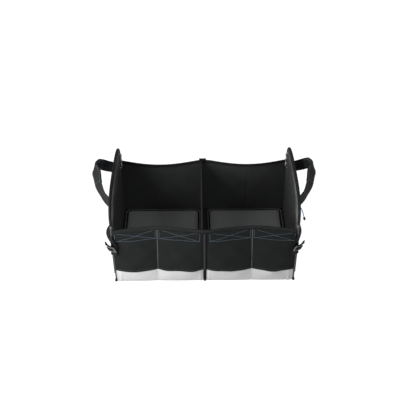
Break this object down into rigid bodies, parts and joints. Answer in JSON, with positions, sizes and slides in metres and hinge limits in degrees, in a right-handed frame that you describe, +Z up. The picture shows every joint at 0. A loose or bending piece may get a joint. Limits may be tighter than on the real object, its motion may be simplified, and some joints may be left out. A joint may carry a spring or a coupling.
{
  "type": "car storage box",
  "caption": "Open fabric storage box for a car boot, with folding walls, a divider, arched sides, front pockets, webbing handles and corner buckles.",
  "frame": {"origin": "middle of the underside of the bottom sheet", "axes": "+X to the right along the width, front pockets towards -Y, +Z up"},
  "size_m": [0.7598, 0.4521, 0.3288],
  "materials": {
    "wall_fabric": "black woven polyester over stiff board",
    "floor_fabric": "charcoal woven polyester over a padded board",
    "pale_fabric": "pale grey woven polyester",
    "webbing": "black woven webbing",
    "piping": "dark grey covered piping cord",
    "buckle_plastic": "grey moulded plastic",
    "rivet_metal": "bright steel rivet head",
    "zip_plastic": "black coil zip",
    "slider_metal": "dark coated die casting",
    "blue_cord": "blue braided cord",
    "pull_rubber": "black moulded rubber"
  },
  "bodies": {
    "box": {"base_sheet": "wall_fabric", "front_wall": "wall_fabric", "back_wall": "wall_fabric", "side_wall_left": "wall_fabric", "side_wall_right": "wall_fabric", "divider": "wall_fabric", "front_top_binding": "webbing", "back_top_binding": "webbing", "divider_binding": "webbing", "side_binding_left": "webbing", "side_binding_right": "webbing", "corner_piping_front_left": "piping", "corner_piping_front_right": "piping", "corner_piping_back_left": "piping", "corner_piping_back_right": "piping", "front_pocket_left": "wall_fabric", "front_pocket_right": "wall_fabric", "pocket_band_left": "pale_fabric", "pocket_band_right": "pale_fabric", "front_centre_strip": "webbing", "pocket_seam_left": "piping", "pocket_seam_right": "piping", "back_centre_strip": "webbing", "back_tab": "webbing", "floor_board_left": "floor_fabric", "floor_board_right": "floor_fabric", "board_piping_left": "piping", "board_piping_right": "piping", "handle_strap_left": "webbing", "handle_strap_right": "webbing", "handle_grip_left": "webbing", "handle_grip_right": "webbing", "buckle_left": "buckle_plastic", "buckle_right": "buckle_plastic", "buckle_loop_left": "webbing", "buckle_loop_right": "webbing", "corner_strap_left": "webbing", "corner_strap_right": "webbing", "corner_rivet_left": "rivet_metal", "corner_rivet_right": "rivet_metal", "lash_strip_left": "webbing", "lash_strip_right": "webbing", "zip_tape": "webbing", "zip_teeth": "zip_plastic", "zip_pocket": "wall_fabric"},
    "slider": {"zip_slider": "slider_metal", "zip_pull_cord": "blue_cord", "zip_pull_end": "pull_rubber"}
  },
  "joints": [
    {"name": "zip_slide", "type": "slide", "parent": "box", "child": "slider", "axis": [-0.0097, 1, 0], "range_m": [0, 0.202]}
  ]
}
